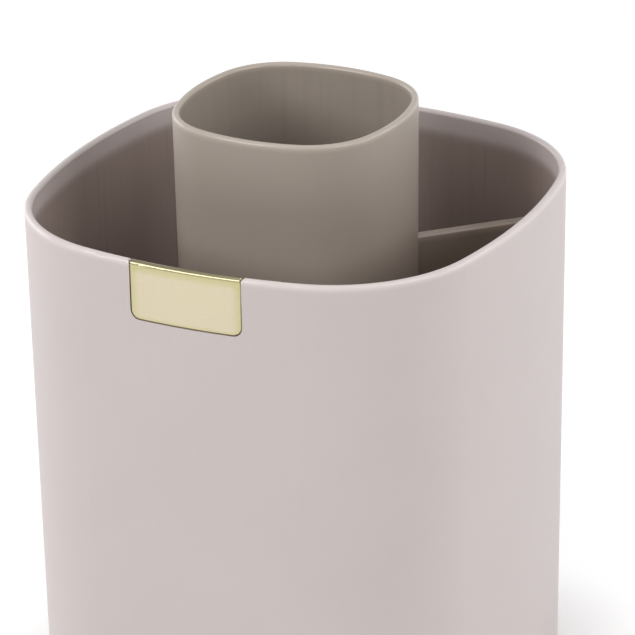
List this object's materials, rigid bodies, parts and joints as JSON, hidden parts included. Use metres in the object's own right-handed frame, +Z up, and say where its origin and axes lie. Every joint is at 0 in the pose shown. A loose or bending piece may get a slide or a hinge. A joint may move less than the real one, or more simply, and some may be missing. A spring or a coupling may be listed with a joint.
{
  "type": "brush holder with drawer",
  "caption": "Tall pot with bowed square sides, an inner pot that lifts out, divided outer compartments for brushes and a shallow pull-out drawer in its base.",
  "frame": {"origin": "on the table, under the middle of the holder", "axes": "+Z up; the plate and the drawer are on the front, which faces -Y; +X to the right seen from the front"},
  "size_m": [0.125, 0.125, 0.1555],
  "materials": {
    "stone_plastic": "fine matt moulded",
    "taupe_plastic": "fine matt moulded",
    "grey_plastic": "matt moulded",
    "plate_metal": "polished, pale gold",
    "adhesive_foam": "foam tape",
    "zinc_steel": "bright zinc",
    "foot_rubber": "soft matt"
  },
  "bodies": {
    "pot": {"outer_pot": "stone_plastic", "badge_plate": "plate_metal", "badge_tape": "adhesive_foam", "compartment_deck": "taupe_plastic", "base_chassis": "grey_plastic", "chassis_screws": "zinc_steel", "foot_pads": "foot_rubber"},
    "cup": {"inner_pot": "taupe_plastic"},
    "drawer": {"drawer_tray": "taupe_plastic", "drawer_front": "stone_plastic"}
  },
  "joints": [
    {"name": "drawer_slide", "type": "slide", "parent": "pot", "child": "drawer", "axis": [0, -1, 0], "range_m": [0, 0.072]},
    {"name": "inner_pot_lift", "type": "slide", "parent": "pot", "child": "cup", "axis": [0, 0, 1], "range_m": [0, 0.11]}
  ]
}
